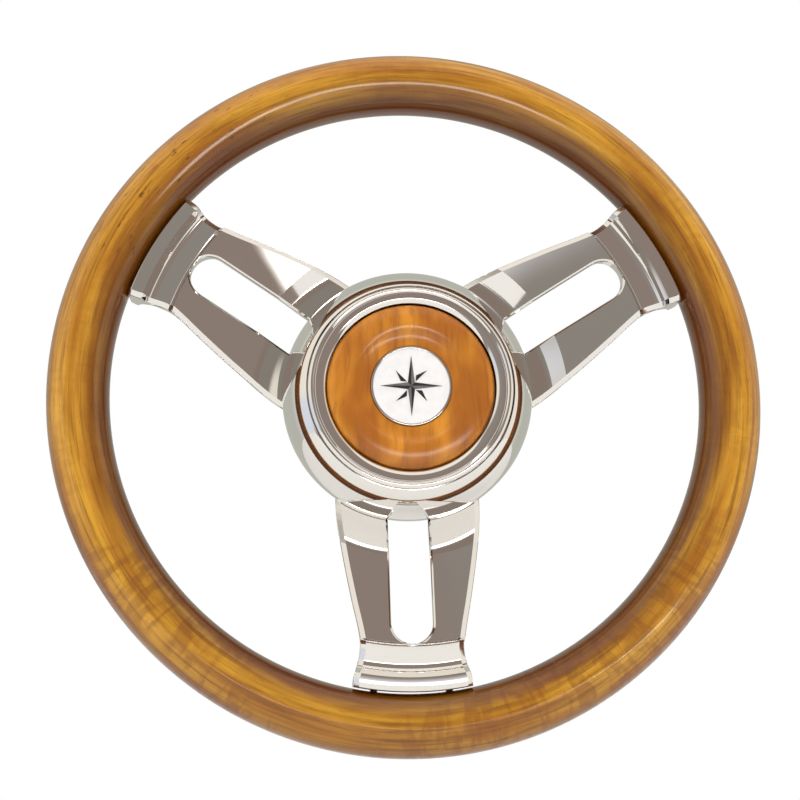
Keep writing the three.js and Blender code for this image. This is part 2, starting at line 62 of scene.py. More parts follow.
class Shader:
    """A node tree that is written one call per node."""

    def __init__(self, tree):
        self.tree = tree
        tree.nodes.clear()

    def node(self, kind, inputs=None, **settings):
        made = self.tree.nodes.new(kind)
        for name, value in settings.items():
            setattr(made, name, value)
        for key, value in (inputs or {}).items():
            if isinstance(value, bpy.types.NodeSocket):
                self.tree.links.new(value, made.inputs[key])
            else:
                made.inputs[key].default_value = value
        return made

    def math(self, operation, a, b=0.0):
        return self.node("ShaderNodeMath", {0: a, 1: b}, operation=operation).outputs[0]

    def ramp(self, value, low, high, out_low=0.0, out_high=1.0, smooth=True):
        kind = "SMOOTHSTEP" if smooth else "LINEAR"
        ranged = self.node(
            "ShaderNodeMapRange",
            {0: value, 1: low, 2: high, 3: out_low, 4: out_high},
            interpolation_type=kind,
        )
        return ranged.outputs[0]

    def mix(self, amount, a, b, blend="MIX"):
        mixed = self.node(
            "ShaderNodeMix",
            {0: amount, 6: a, 7: b},
            data_type="RGBA",
            blend_type=blend,
        )
        return mixed.outputs[2]

    def combine(self, x, y, z):
        return self.node("ShaderNodeCombineXYZ", {0: x, 1: y, 2: z}).outputs[0]

    def noise(self, vector, scale=1.0, detail=2.0, w=None, distortion=0.0):
        inputs = {"Vector": vector, "Scale": scale, "Detail": detail, "Distortion": distortion}
        if w is None:
            return self.node("ShaderNodeTexNoise", inputs).outputs[0]
        inputs["W"] = w
        return self.node("ShaderNodeTexNoise", inputs, noise_dimensions="4D").outputs[0]

    def bump(self, height, strength, distance_mm):
        inputs = {"Strength": strength, "Distance": distance_mm * MM, "Height": height}
        return self.node("ShaderNodeBump", inputs).outputs[0]


def rgb(red, green, blue):
    """A linear colour from display values between 0 and 255."""
    def linear(value):
        value /= 255.0
        return value / 12.92 if value <= 0.04045 else ((value + 0.055) / 1.055) ** 2.4
    return (linear(red), linear(green), linear(blue), 1.0)


def new_material(name):
    made = bpy.data.materials.new(name)
    made.use_nodes = True
    return made, Shader(made.node_tree)


def finish_material(shader, inputs):
    surface = shader.node("ShaderNodeBsdfPrincipled", inputs)
    shader.node("ShaderNodeOutputMaterial", {"Surface": surface.outputs[0]})


def object_axes(shader):
    """Object coordinates in millimetres, as three sockets."""
    place = shader.node("ShaderNodeTexCoord").outputs["Object"]
    scaled = shader.node("ShaderNodeVectorMath", {0: place, 3: 1000.0}, operation="SCALE")
    split = shader.node("ShaderNodeSeparateXYZ", {0: scaled.outputs[0]})
    return split.outputs[0], split.outputs[1], split.outputs[2]


# ------------------------------------------------------------------ wood

WOOD_DARK = rgb(98, 48, 5)
WOOD_MID = rgb(166, 104, 16)
WOOD_LIGHT = rgb(216, 160, 48)


def lacquered(shader, colour, figure, coat_roughness=0.08):
    """Varnished wood: a satin body under a clear coat that is almost flat."""
    roughness = shader.ramp(figure, 0.3, 0.7, 0.3, 0.42)
    finish_material(shader, {
        "Base Color": colour,
        "Roughness": roughness,
        "Specular IOR Level": 0.2,
        "Coat Weight": 1.0,
        "Coat Roughness": coat_roughness,
        "Coat IOR": 1.45,
        "Normal": shader.bump(figure, 0.12, 0.4),
        "Coat Normal": shader.bump(shader.noise(object_vector(shader), 0.12, 2.0), 0.05, 0.5),
    })


def object_vector(shader):
    x, y, z = object_axes(shader)
    return shader.combine(x, y, z)


def rim_wood():
    """Grain that runs round the rim, with dark pores, a curly figure and a few dark flecks.

    The colour is darkened on the inner side of the rim and along its outer edge: painted shade that
    stands in for the shading of the round section. It is part of the colour, so it stays there in any light.
    """
    material, s = new_material("rim_wood_lacquered")
    x, y, z = object_axes(s)
    radius = s.math("SQRT", s.math("ADD", s.math("MULTIPLY", x, x), s.math("MULTIPLY", z, z)))
    unit_x = s.math("DIVIDE", x, radius)
    unit_z = s.math("DIVIDE", z, radius)
    depth = s.math("SUBTRACT", radius, RIM_RADIUS)

    def around(length, across, detail, distortion=0.0, slant=0.0):
        """Noise of a given size along the rim and across its section."""
        turn = RIM_RADIUS / length
        slid = s.math("ADD", depth, s.math("MULTIPLY", y, slant))
        vector = s.combine(
            s.math("MULTIPLY", unit_x, turn),
            s.math("MULTIPLY", unit_z, turn),
            s.math("DIVIDE", slid, across),
        )
        return s.noise(vector, 1.0, detail, w=s.math("DIVIDE", y, across), distortion=distortion)

    clouds = around(70.0, 9.0, 3.0)
    streaks = around(45.0, 1.6, 4.0, 0.4)
    pores = around(7.0, 0.42, 2.0)
    curls = around(5.5, 16.0, 2.0, 0.8)
    curl_places = around(60.0, 30.0, 1.0)
    flecks = around(10.0, 2.4, 2.0, 1.2)

    colour = s.mix(s.ramp(clouds, 0.3, 0.72), WOOD_MID, WOOD_LIGHT)
    colour = s.mix(s.ramp(streaks, 0.42, 0.72, 0.0, 0.62), colour, WOOD_DARK)
    low_side = s.ramp(unit_z, 0.35, -0.75)
    curl_amount = s.math("MULTIPLY", s.ramp(curl_places, 0.35, 0.6), s.ramp(low_side, 0.0, 1.0, 0.3, 1.0))
    curl = s.math("MULTIPLY", s.ramp(curls, 0.42, 0.6), curl_amount)
    colour = s.mix(s.math("MULTIPLY", curl, 0.48), colour, rgb(128, 70, 14))
    colour = s.mix(s.ramp(pores, 0.60, 0.72, 0.0, 0.45), colour, rgb(96, 46, 8))
    upper_left = s.math("MULTIPLY", s.ramp(unit_x, -0.25, -0.6), s.ramp(unit_z, 0.2, 0.6))
    fleck_amount = s.math("MULTIPLY", s.ramp(flecks, 0.62, 0.7), s.ramp(upper_left, 0, 1, 0.12, 0.8))
    colour = s.mix(fleck_amount, colour, rgb(88, 44, 12))
    # painted shade: the colour darkens towards the inner side of the rim's section
    inner = s.ramp(s.math("ADD", depth, s.math("MULTIPLY", clouds, 6.0)), 3.0, -11.0, 0.0, 0.88)
    colour = s.mix(inner, colour, rgb(82, 34, 5))
    # painted shade: the colour darkens along the outer edge of the rim's section
    outer_edge_painted_shade = s.ramp(depth, 9.0, 15.0, 0.0, 0.7)
    colour = s.mix(outer_edge_painted_shade, colour, rgb(112, 56, 8))
    lacquered(s, colour, s.math("ADD", s.math("MULTIPLY", streaks, 0.6), s.math("MULTIPLY", curl, 0.4)))
    return material


def insert_wood():
    """A turned disc of the same wood, its straight grain running up and down."""
    material, s = new_material("insert_wood_lacquered")
    x, y, z = object_axes(s)
    bent = s.math("ADD", x, s.math("MULTIPLY", s.noise(object_vector(s), 0.02, 1.0), 14.0))
    vector = s.combine(s.math("DIVIDE", bent, 2.2), s.math("DIVIDE", y, 5.0), s.math("DIVIDE", z, 32.0))
    streaks = s.noise(vector, 1.0, 4.0)
    broad = s.combine(s.math("DIVIDE", bent, 16.0), s.math("DIVIDE", y, 16.0), s.math("DIVIDE", z, 38.0))
    clouds = s.noise(broad, 1.0, 2.0)
    pore_vector = s.combine(s.math("DIVIDE", bent, 0.42), s.math("DIVIDE", y, 2.0), s.math("DIVIDE", z, 6.0))
    pores = s.noise(pore_vector, 1.0, 2.0)
    colour = s.mix(s.ramp(clouds, 0.34, 0.68), rgb(166, 94, 12), rgb(214, 140, 34))
    colour = s.mix(s.ramp(streaks, 0.46, 0.74, 0.0, 0.5), colour, rgb(128, 66, 8))
    colour = s.mix(s.ramp(pores, 0.62, 0.74, 0.0, 0.3), colour, rgb(112, 56, 10))
    lacquered(s, colour, streaks, 0.2)
    return material


# ------------------------------------------------------------------ metals and plastics

def chrome_plate():
    """Mirror chrome with a breath of haze and polishing marks too fine to see one by one."""
    material, s = new_material("polished_chrome")
    place = object_vector(s)
    haze = s.noise(place, 0.035, 3.0)
    marks = s.noise(place, 2.6, 2.0)
    roughness = s.math("ADD", s.ramp(haze, 0.35, 0.7, 0.018, 0.05), s.ramp(marks, 0.5, 0.8, 0.0, 0.015))
    finish_material(s, {
        "Base Color": (0.9, 0.885, 0.86, 1.0),
        "Metallic": 1.0,
        "Roughness": roughness,
        "Normal": s.bump(s.noise(place, 0.03, 1.0), 0.06, 0.6),
    })
    return material


def turned_metal(name, colour, rough_low, rough_high):
    """Metal off a lathe: fine rings about the wheel's axis, and a patchy shine."""
    material, s = new_material(name)
    x, y, z = object_axes(s)
    radius = s.math("SQRT", s.math("ADD", s.math("MULTIPLY", x, x), s.math("MULTIPLY", z, z)))
    rings = s.noise(s.combine(s.math("MULTIPLY", radius, 3.0), s.math("MULTIPLY", y, 3.0), 0.0), 1.0, 2.0)
    patches = s.noise(object_vector(s), 0.09, 3.0)
    tint = s.mix(s.ramp(patches, 0.3, 0.7, 0.0, 0.5), colour, tuple(0.72 * c for c in colour[:3]) + (1.0,))
    finish_material(s, {
        "Base Color": tint,
        "Metallic": 1.0,
        "Roughness": s.ramp(patches, 0.3, 0.75, rough_low, rough_high),
        "Normal": s.bump(rings, 0.35, 0.05),
    })
    return material


def moulded(name, colour, rough_low, rough_high, grain_mm, depth_mm):
    """Moulded plastic or rubber: fine pebbled skin, slightly uneven shine."""
    material, s = new_material(name)
    place = object_vector(s)
    grain = s.noise(place, 1.0 / grain_mm, 3.0)
    patches = s.noise(place, 0.05, 2.0)
    tint = s.mix(s.ramp(patches, 0.3, 0.7, 0.0, 0.35), colour, tuple(1.5 * c for c in colour[:3]) + (1.0,))
    finish_material(s, {
        "Base Color": tint,
        "Roughness": s.ramp(patches, 0.3, 0.7, rough_low, rough_high),
        "Normal": s.bump(grain, 0.4, depth_mm),
    })
    return material


def enamel(name, colour, shade):
    """Printed enamel under clear resin."""
    material, s = new_material(name)
    place = object_vector(s)
    mottle = s.noise(place, 0.25, 3.0)
    finish_material(s, {
        "Base Color": s.mix(s.ramp(mottle, 0.35, 0.75, 0.0, 0.5), colour, shade),
        "Roughness": s.ramp(mottle, 0.3, 0.7, 0.28, 0.4),
        "Coat Weight": 1.0,
        "Coat Roughness": 0.03,
        "Coat Normal": s.bump(s.noise(place, 0.08, 1.0), 0.06, 0.4),
    })
    return material


RIM_WOOD = rim_wood()
INSERT_WOOD = insert_wood()
CHROME = chrome_plate()
STEEL = turned_metal("stainless_fastenings", rgb(178, 178, 182), 0.2, 0.38)
BRONZE = turned_metal("machined_bronze", rgb(186, 146, 84), 0.25, 0.42)
RUBBER = moulded("nitrile_rubber", rgb(26, 26, 26), 0.6, 0.8, 0.5, 0.05)
NYLON = moulded("moulded_nylon", rgb(38, 38, 41), 0.42, 0.58, 0.7, 0.08)
WHITE_ENAMEL = enamel("medallion_white", rgb(240, 240, 243), rgb(226, 227, 233))
BLACK_ENAMEL = enamel("rose_black", rgb(18, 18, 20), rgb(34, 34, 38))
GREY_ENAMEL = enamel("rose_grey", rgb(96, 97, 102), rgb(120, 121, 126))
SLOT_MATERIALS = {
    "wood": RIM_WOOD,
    "chrome": CHROME,
    "fastener_steel": STEEL,
    "bronze": BRONZE,
    "rubber": RUBBER,
    "housing_plastic": NYLON,
    "medallion_enamel": WHITE_ENAMEL,
    "rose_enamel": BLACK_ENAMEL,
}
NODE_SLOT = {part["node"]: part["material_slot"] for part in frame["record"]["subparts"]}
NODE_BODY = {
    node: body
    for body, nodes in frame["record"]["behaviour"]["bodies"].items()
    for node in nodes
}


# ------------------------------------------------------------------ meshes

def add_piece(name, verts, faces, material, body, nodes=(), crease=28.0):
    """A mesh from points in millimetres, smooth but for edges sharper than the crease."""
    mesh = bpy.data.meshes.new(name)
    mesh.from_pydata([tuple(MM * c for c in v) for v in verts], [], [tuple(f) for f in faces])
    mesh.materials.append(material)
    mesh.shade_smooth()
    mesh.set_sharp_from_angle(angle=math.radians(crease))
    piece = bpy.data.objects.new(name, mesh)
    bpy.context.scene.collection.objects.link(piece)
    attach(piece, body)
    if nodes:
        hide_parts(*nodes)
    return piece


def arc(centre_r, centre_h, radius, start, end, steps):
    angles = np.radians(np.linspace(start, end, steps + 1))
    return [(centre_r + radius * math.cos(a), centre_h + radius * math.sin(a)) for a in angles]


def smooth_line(points, steps):
    """A curve through points: each stretch is cut into that many steps."""
    padded = [points[0], *points, points[-1]]
    line = []
    for i in range(len(points) - 1):
        a, b, c, d = (np.array(p, float) for p in padded[i:i + 4])
        for step in range(steps):
            t = step / steps
            line.append(0.5 * (
                2 * b + (c - a) * t + (2 * a - 5 * b + 4 * c - d) * t**2
                + (3 * b - a - 3 * c + d) * t**3
            ))
    line.append(np.array(points[-1], float))
    return [tuple(p) for p in line]


def filleted(points, radius, steps=3, closed=True):
    """The same outline with its corners rounded, less where a side is short."""
    out = []
    count = len(points)
    for i, point in enumerate(points):
        ends_here = not closed and i in (0, count - 1)
        if ends_here or point[0] < 1e-6:
            out.append(point)
            continue
        here = np.array(point, float)
        back = np.array(points[i - 1], float) - here
        ahead = np.array(points[(i + 1) % count], float) - here
        back_length = np.linalg.norm(back)
        ahead_length = np.linalg.norm(ahead)
        cut = min(radius, 0.4 * back_length, 0.4 * ahead_length)
        first = here + back / back_length * cut
        last = here + ahead / ahead_length * cut
        for t in np.linspace(0, 1, steps + 1):
            out.append(tuple((1 - t) ** 2 * first + 2 * t * (1 - t) * here + t**2 * last))
    return out


HEX_SEGMENTS = 48


def hexagon_factor(angle):
    """How much further out a hexagon reaches than the circle inside it."""
    return 1.0 / math.cos((angle % (math.pi / 3)) - math.pi / 6)


def turned(profile, segments=128, closed=True, hexed=()):
    """Points and faces of an outline (r, h) turned about the axis. Points listed in hexed follow
    a hexagon instead of a circle. Points on the axis are shared."""
    verts = []
    rings = []
    for i, (r, h) in enumerate(profile):
        if r < 1e-6:
            rings.append([len(verts)] * segments)
            verts.append((0.0, -(h + DASH_TO_RIM), 0.0))
            continue
        ring = []
        for k in range(segments):
            angle = 2 * math.pi * k / segments
            reach = r * (hexagon_factor(angle) if i in hexed else 1.0)
            ring.append(len(verts))
            verts.append((reach * math.cos(angle), -(h + DASH_TO_RIM), reach * math.sin(angle)))
        rings.append(ring)
    faces = []
    pairs = len(rings) if closed else len(rings) - 1
    for i in range(pairs):
        first, second = rings[i], rings[(i + 1) % len(rings)]
        for k in range(segments):
            n = (k + 1) % segments
            corners = [first[k], second[k], second[n], first[n]]
            unique = list(dict.fromkeys(corners))
            if len(unique) > 2:
                faces.append(unique)
    return verts, facing_out(verts, faces)


def facing_out(verts, faces):
    """The faces, turned over if the body they enclose came out inside out."""
    points = np.array(verts)
    volume = 0.0
    for face in faces:
        a = points[face[0]]
        for j in range(1, len(face) - 1):
            volume += float(np.dot(a, np.cross(points[face[j]], points[face[j + 1]])))
    return faces if volume > 0 else [list(reversed(f)) for f in faces]


def moved(verts, matrix):
    return [tuple(matrix @ Vector(v)) for v in verts]


def about_axis(degrees):
    """A turn about the wheel's axis that takes +X to that angle in the XZ plane."""
    return Matrix.Rotation(-math.radians(degrees), 4, "Y")


# ------------------------------------------------------------------ rim

def make_rim():
    section = arc(RIM_RADIUS, 0, GRIP_RADIUS, 0, 360, 64)[:-1]
    verts, faces = turned(section, 288)
    add_piece("rim_wood", verts, faces, RIM_WOOD, "wheel",
              ["rim_front_half", "rim_rear_half"], crease=60)


# ------------------------------------------------------------------ spokes

SLOT_HALF_WIDTH = 10.0
SLOT_START = 54.0
SLOT_END = 112.0
FOOT_OUTER = 144.4
SPOKE_INNER = 27.0
SPOKE_EDGE = [
    (26, 31), (44, 35), (60, 35.3), (80, 32.5), (100, 28.8), (114, 25.8),
    (121.5, 24.7), (128, 25.3), (134, 26.8), (139, 27.9), (147, 28.3),
]
COVE = [
    (121.5, 8), (122.2, 6.2), (123.4, 4.9), (125, 4.3), (130, 3.3), (132.5, 3.1), (134.3, 3.8),
    (135.8, 5.4), (136.8, 7.3), (137.5, 9),
]
FRONT_SPANS = [
    [(SPOKE_INNER, -14.5), (62, -14.5)],
    [(62, -14.5), (64.5, -13.6)],
    [(64.5, -13.6), (72, -9.63), (80, -5.4)],
    [(80, -5.4), (94, -0.88), (108, 3.64), (121.5, 8)],
    smooth_line(COVE, 5),
    [(137.5, 9), (140.4, 8.95), (143.2, 8.6)],
    smooth_line([(143.2, 8.6), (144.1, 8.2), (FOOT_OUTER, 7.3)], 3),
]
BACK_SPANS = [
    [(SPOKE_INNER, -19), (63, -19)],
    [(63, -19), (66, -17.9), (81, -9.8)],
    [(81, -9.8), (116, 1.5)],
    smooth_line(
        [(116, 1.5), (120.5, 0.4), (126, -1.3), (132, -1.4), (136.5, -3), (139.3, -6), (140.4, -9)],
        4,
    ),
    [(140.4, -9), (143.2, -9)],
    smooth_line([(143.2, -9), (144.1, -8.5), (FOOT_OUTER, -7.6)], 3),
]
SIDE_CHAMFER = [(0, 2.1), (0.35, 1.6), (2.6, 0)]
SLOT_CHAMFER = [(0, 0.95), (0.25, 0.65), (1.0, 0)]
BACK_CHAMFER = [(0, 0.8), (0.8, 0)]
ARC_SPACING = 3.0


class Section:
    """Heights along the spoke: smooth inside each span, creased where two spans meet."""

    def __init__(self, spans):
        radii, heights, starts, ends = [], [], [], []
        for span in spans:
            points = np.array(span, float)
            slopes = np.diff(points[:, 1]) / np.diff(points[:, 0])
            joints = 0.5 * (slopes[1:] + slopes[:-1])
            radii.extend(points[:-1, 0])
            heights.extend(points[:-1, 1])
            starts.extend([slopes[0], *joints])
            ends.extend([*joints, slopes[-1]])
        radii.append(spans[-1][-1][0])
        heights.append(spans[-1][-1][1])
        self.radii = np.array(radii)
        self.heights = np.array(heights)
        self.starts = np.array(starts)
        self.ends = np.array(ends)

    def height(self, r):
        return np.interp(r, self.radii, self.heights)

    def slope(self, r, inside):
        """The slope at r, on the piece of the section that the radius inside lies on."""
        i = np.clip(np.searchsorted(self.radii, inside) - 1, 0, len(self.starts) - 1)
        t = np.clip((r - self.radii[i]) / (self.radii[i + 1] - self.radii[i]), 0, 1)
        return (1 - t) * self.starts[i] + t * self.ends[i]


class Edge:
    """A line in the spoke's plane, and how far and which way a point lies from it."""

    def __init__(self, points):
        line = np.array(points, float)
        self.a = line[:-1]
        self.along = line[1:] - line[:-1]
        self.length2 = (self.along**2).sum(1)

    def measure(self, points):
        """Distance from each point, and the unit direction away from the line."""
        distance = np.empty(len(points))
        away = np.empty((len(points), 2))
        for i, p in enumerate(points):
            t = np.clip(((p - self.a) * self.along).sum(1) / self.length2, 0, 1)
            offset = p - (self.a + t[:, None] * self.along)
            squared = (offset**2).sum(1)
            best = int(squared.argmin())
            distance[i] = math.sqrt(squared[best])
            if distance[i] > 1e-3:
                away[i] = offset[best] / distance[i]
            else:
                side = np.array([-self.along[best][1], self.along[best][0]])
                away[i] = side / np.linalg.norm(side)
        return distance, away


def chamfer(profile, distance):
    points = np.array(profile, float)
    return np.interp(distance, points[:, 0], points[:, 1], right=0.0)


def chamfer_slope(profile, inside):
    points = np.array(profile, float)
    slopes = np.append(np.diff(points[:, 1]) / np.diff(points[:, 0]), 0.0)
    return slopes[np.clip(np.searchsorted(points[:, 0], inside) - 1, 0, len(slopes) - 1)]


def half_edge():
    """The spoke's edge on its positive side, from the hub to the foot, as close points."""
    line = [p for p in smooth_line(SPOKE_EDGE, 10) if p[0] >= SPOKE_INNER]
    return [p for p in line if math.hypot(*p) < FOOT_OUTER - 0.05]


def slot_line(wider=0.0, steps=28):
    radius = SLOT_HALF_WIDTH + wider
    far = [(SLOT_END + radius * math.cos(a), radius * math.sin(a))
           for a in np.linspace(-math.pi / 2, math.pi / 2, steps)]
    near = [(SLOT_START + radius * math.cos(a), radius * math.sin(a))
            for a in np.linspace(math.pi / 2, 1.5 * math.pi, steps)]
    return far + near


def offset_line(points, distance):
    """A line moved sideways, towards the spoke's middle."""
    line = np.array(points, float)
    tangent = np.gradient(line, axis=0)
    tangent /= np.linalg.norm(tangent, axis=1)[:, None]
    normal = np.column_stack([tangent[:, 1], -tangent[:, 0]])
    return [tuple(p) for p in line + distance * normal]


def spoke_sheet(section_radii):
    """The spoke's outline cut into triangles along its chamfers and its concentric creases."""
    edge = half_edge()
    top_angle = math.atan2(edge[-1][1], edge[-1][0])
    foot = [(FOOT_OUTER * math.cos(a), FOOT_OUTER * math.sin(a))
            for a in np.linspace(top_angle, -top_angle, 60)]
    mirrored = [(u, -v) for u, v in reversed(edge)]
    outline = edge + foot + mirrored
    verts, lines = [], []

    def add_line(points, closed=False):
        first = len(verts)
        verts.extend(Vector(p) for p in points)
        lines.extend((first + i, first + i + 1) for i in range(len(points) - 1))
        if closed:
            lines.append((first + len(points) - 1, first))

    add_line(outline, closed=True)
    add_line(slot_line(), closed=True)
    for distance, _ in SIDE_CHAMFER[1:]:
        inner = offset_line(edge, distance)
        reach = [(u, v) for u, v in inner if math.hypot(u, v) < FOOT_OUTER - 0.1]
        add_line(reach)
        add_line([(u, -v) for u, v in reach])
    for distance, _ in SLOT_CHAMFER[1:]:
        add_line(slot_line(distance), closed=True)
    between = np.arange(SPOKE_INNER + 2, 121, ARC_SPACING)
    gaps = [r for r in between if np.abs(section_radii - r).min() > 0.8]
    for r in sorted([*section_radii, *gaps]):
        if not SPOKE_INNER + 0.5 < r < FOOT_OUTER - 0.01:
            continue
        half = math.asin(min(1.0, 37 / r))
        add_line([(r * math.cos(a), r * math.sin(a)) for a in np.linspace(-half, half, 49)])

    points, _, faces, _, _, _ = delaunay_2d_cdt(verts, lines, [], 0, 1e-5)
    points = np.array([tuple(p) for p in points])
    width = np.array(edge + [(edge[-1][0] + 0.01, edge[-1][1]), (FOOT_OUTER + 5, edge[-1][1])])
    kept = []
    for face in faces:
        u, v = points[list(face)].mean(0)
        off_slot = math.hypot(u - min(max(u, SLOT_START), SLOT_END), v) - SLOT_HALF_WIDTH
        inside = SPOKE_INNER < u and abs(v) < np.interp(u, width[:, 0], width[:, 1])
        if inside and math.hypot(u, v) < FOOT_OUTER and off_slot > 0:
            kept.append(face)
    used = sorted({i for face in kept for i in face})
    renumbered = {old: new for new, old in enumerate(used)}
    faces = [[renumbered[i] for i in face] for face in kept]
    return points[used], faces, edge


def make_spokes():
    front = Section(FRONT_SPANS)
    back = Section(BACK_SPANS)
    radii = np.unique(np.concatenate([front.radii, back.radii]))
    points, faces, edge = spoke_sheet(radii)
    sides = Edge(edge)
    folded = np.column_stack([points[:, 0], np.abs(points[:, 1])])
    side_distance, side_away = sides.measure(folded)
    side_away[:, 1] *= np.where(points[:, 1] < 0, -1, 1)
    nearest_u = np.clip(points[:, 0], SLOT_START, SLOT_END)
    from_middle = np.column_stack([points[:, 0] - nearest_u, points[:, 1]])
    reach = np.maximum(np.linalg.norm(from_middle, axis=1), 1e-6)
    slot_distance = reach - SLOT_HALF_WIDTH
    slot_away = from_middle / reach[:, None]
    radius = np.linalg.norm(points, axis=1)
    outward = points / radius[:, None]
    count = len(points)

    def surface(section, side_profile, slot_profile, sign):
        """Heights at the points, and a normal for each corner of each triangle."""
        cut = chamfer(side_profile, side_distance) + chamfer(slot_profile, slot_distance)
        heights = section.height(radius) - sign * cut
        normals = []
        for face in faces:
            corners = list(face)
            mid_r = radius[corners].mean()
            side_slope = chamfer_slope(side_profile, side_distance[corners].mean())
            slot_slope = chamfer_slope(slot_profile, slot_distance[corners].mean())
            for i in corners:
                gradient = section.slope(radius[i], mid_r) * outward[i]
                gradient = gradient - sign * side_slope * side_away[i]
                gradient = gradient - sign * slot_slope * slot_away[i]
                # the row frame is (u, -h, v): height falls along +Y
                normal = np.array([-gradient[0], -1.0, -gradient[1]]) * sign
                normals.append(normal / np.linalg.norm(normal))
        return heights, normals

    front_heights, front_normals = surface(front, SIDE_CHAMFER, SLOT_CHAMFER, 1)
    back_heights, back_normals = surface(back, BACK_CHAMFER, BACK_CHAMFER, -1)

    def solid(heights):
        return [(u, -(h + DASH_TO_RIM), v) for (u, v), h in zip(points, heights)]

    verts = solid(front_heights) + solid(back_heights)
    edge_count = {}
    for face in faces:
        for a, b in zip(face, face[1:] + face[:1]):
            edge_count[(a, b)] = edge_count.get((a, b), 0) + 1
    rims = [(a, b) for a, b in edge_count if (b, a) not in edge_count]
    all_faces = [list(f) for f in faces]
    all_faces += [[i + count for i in reversed(f)] for f in faces]
    all_faces += [[b, a, a + count, b + count] for a, b in rims]
    flip = needs_flip(verts, all_faces[0])
    normals = list(front_normals)
    for f in range(len(faces)):
        normals += list(reversed(back_normals[3 * f:3 * f + 3]))
    # walls: level normals, smooth along the line that they follow
    wall_normal = {}
    for a, b in rims:
        step = points[b] - points[a]
        side = np.array([step[1], -step[0]])
        side /= np.linalg.norm(side)
        for i in (a, b):
            wall_normal.setdefault(i, []).append(side)
    for a, b in rims:
        step = points[b] - points[a]
        own = np.array([step[1], -step[0]])
        own /= np.linalg.norm(own)
        for i in (b, a, a, b):
            agreeing = [n for n in wall_normal[i] if float(n @ own) > 0.8]
            mean = np.mean(agreeing, axis=0)
            mean /= np.linalg.norm(mean)
            normals.append(np.array([mean[0], 0.0, mean[1]]))
    if flip:
        flipped, at = [], 0
        for f in all_faces:
            corner_normals = normals[at:at + len(f)]
            flipped.extend(reversed(corner_normals))
            at += len(f)
        all_faces = [list(reversed(f)) for f in all_faces]
        normals = flipped

    for name, angle in SPOKE_ANGLES.items():
        turn = about_axis(angle)
        piece = add_piece(f"spoke_plate_{name}", moved(verts, turn), all_faces, CHROME, "wheel",
                          [f"spoke_{name}"])
        turn3 = turn.to_3x3()
        piece.data.normals_split_custom_set([tuple(turn3 @ Vector(n)) for n in normals])


def needs_flip(verts, face):
    """True if the first front triangle faces away from the helmsman."""
    a, b, c = (Vector(verts[i]) for i in face[:3])
    return (b - a).cross(c - a).y > 0


# ------------------------------------------------------------------ screws and nut

def socket_screw(name, head_radius, head_height, shank_radius, length, matrix, body, node):
    """A socket-head screw, its head towards -Y and its shank towards +Y from y = 0."""
    socket = head_radius * 0.42
    lift = -DASH_TO_RIM  # cancels the height that turned() adds
    outline = [
        (0, lift + head_height * 0.45),
        (socket, lift + head_height * 0.45),
        (socket, lift + head_height * 0.93),
        (socket * 1.12, lift + head_height),
        (head_radius * 0.93, lift + head_height),
        (head_radius, lift + head_height * 0.9),
        (head_radius, lift + 0.15),
        (head_radius - 0.15, lift),
        (shank_radius, lift),
    ]
    turns = max(2, int(length / 0.9))
    for i in range(turns):
        at = length * (0.12 + 0.86 * i / turns)
        outline.append((shank_radius, lift - at))
        outline.append((shank_radius * 0.84, lift - at - 0.4 * length / turns))
    outline += [(shank_radius * 0.8, lift - length), (0, lift - length)]
    verts, faces = turned(outline, HEX_SEGMENTS, closed=False, hexed=(1, 2))
    return add_piece(name, moved(verts, matrix), faces, STEEL, body, [node])


def make_screws():
    lay = Matrix.Rotation(math.radians(-90), 4, "Z")  # +Y to +X, along the spoke
    for spoke, angle in SPOKE_ANGLES.items():
        turn = about_axis(angle)
        for i, side in enumerate((-18, 18)):
            at = Matrix.Translation((137.5, -(-5.2 + DASH_TO_RIM), side))
            socket_screw(f"foot_cap_screw_{spoke}_{i + 1}", 3.8, 3, 2, 22.2, turn @ at @ lay,
                         "wheel", f"foot_screw_{spoke}_{i + 1}")
        for i, (along, across) in enumerate(((40, -21), (40, 21))):
            at = Matrix.Translation((along, -(-14.2 + DASH_TO_RIM), across))
            socket_screw(f"hub_cap_screw_{spoke}_{i + 1}", 4.2, 2.8, 2.5, 8.3, turn @ at,
                         "wheel", f"hub_screw_{spoke}_{i + 1}")
    over = Matrix.Rotation(math.radians(180), 4, "X")
    for i, angle in enumerate(THIRDS):
        at = Matrix.Translation((54.5, -(-24.6 + DASH_TO_RIM), 0))
        socket_screw(f"dome_cap_screw_{i + 1}", 3.6, 2.6, 2, 17.4, about_axis(angle) @ at @ over,
                     "wheel", f"dome_screw_{i + 1}")
        at = Matrix.Translation((37, -(-49.7 + DASH_TO_RIM), 0))
        socket_screw(f"dash_cap_screw_{i + 1}", 4.6, 3.2, 2.4, 17.8, about_axis(angle) @ at,
                     "helm_bearing", f"dash_screw_{i + 1}")


def make_nut():
    """The shaft nut: a hexagon with its corners chamfered at both ends."""
    flat, bore, back, front = 9.525, 6.65, -5.6, 3.4
    verts, faces = [], []
    rows = []
    for k in range(HEX_SEGMENTS):
        angle = 2 * math.pi * k / HEX_SEGMENTS
        reach = flat * hexagon_factor(angle)
        drop = (reach - flat * 0.97) * 0.6
        line = [
            (bore + 0.5, back), (flat * 0.97, back), (reach, back + drop),
            (reach, front - drop), (flat * 0.97, front), (bore + 0.5, front),
            (bore, front - 0.5), (bore, back + 0.5),
        ]
        rows.append([len(verts) + j for j in range(len(line))])
        verts += [(r * math.cos(angle), -(h + DASH_TO_RIM), r * math.sin(angle)) for r, h in line]
    size = len(rows[0])
    for k in range(HEX_SEGMENTS):
        here, there = rows[k], rows[(k + 1) % HEX_SEGMENTS]
        for j in range(size):
            n = (j + 1) % size
            faces.append([here[j], here[n], there[n], there[j]])
    add_piece("shaft_lock_nut", verts, facing_out(verts, faces), STEEL, "wheel",
              ["shaft_nut"], crease=20)


# ------------------------------------------------------------------ hub

